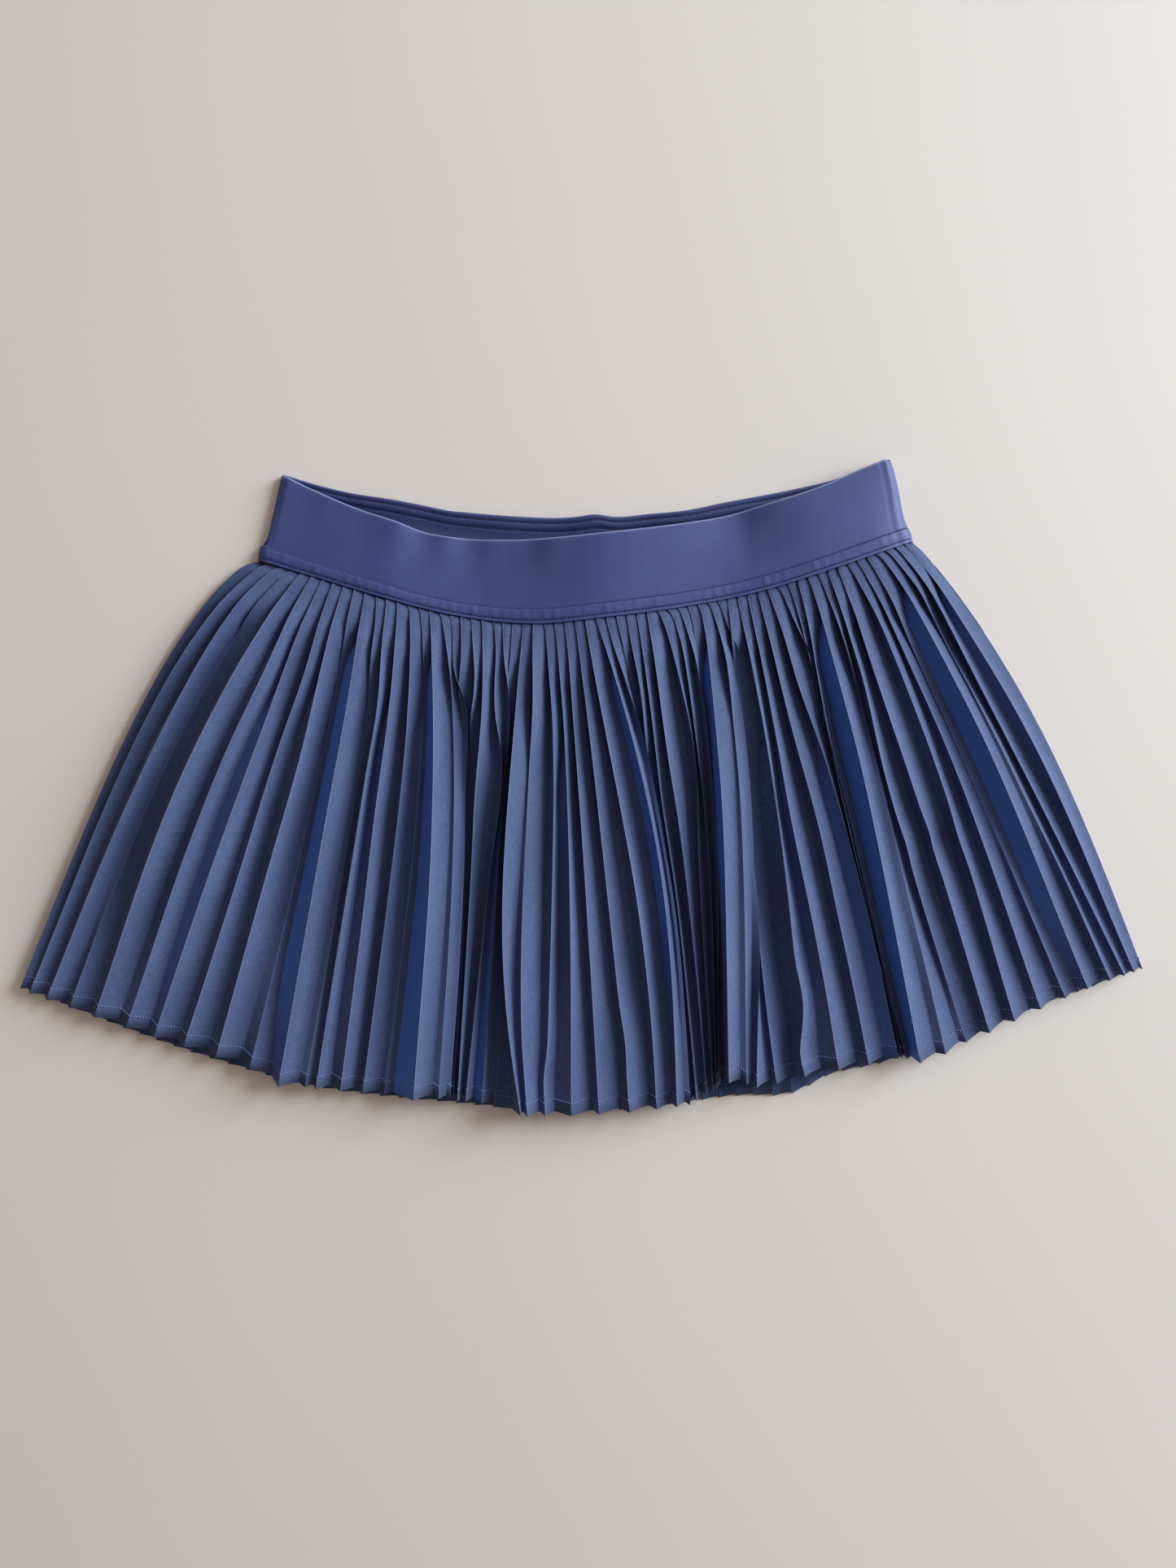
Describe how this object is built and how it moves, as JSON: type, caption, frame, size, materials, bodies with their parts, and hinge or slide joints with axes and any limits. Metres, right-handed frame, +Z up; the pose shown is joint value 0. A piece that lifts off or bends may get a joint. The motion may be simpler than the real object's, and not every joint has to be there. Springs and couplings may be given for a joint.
{
  "type": "tennis skirt",
  "caption": "Pleated tennis skirt with a wide elastic waistband, laid flat, its knife pleats closed at the waist and fanned out at the hem.",
  "frame": {"origin": "middle of the laid-out skirt's box, on the surface that it rests on", "axes": "+X along the waist from the wearer's right to left as seen from the front, +Y from the hem to the waist, +Z up from the surface, out of the skirt's front"},
  "size_m": [0.6832, 0.3998, 0.0218],
  "materials": {
    "pleat_cloth": "matt woven polyester with sharp pressed pleats",
    "band_cloth": "smooth double knit with a faint sheen"
  },
  "bodies": {
    "root": {"skirt_front": "pleat_cloth", "skirt_back": "pleat_cloth", "waistband_front": "band_cloth", "waistband_back": "band_cloth"}
  },
  "joints": []
}
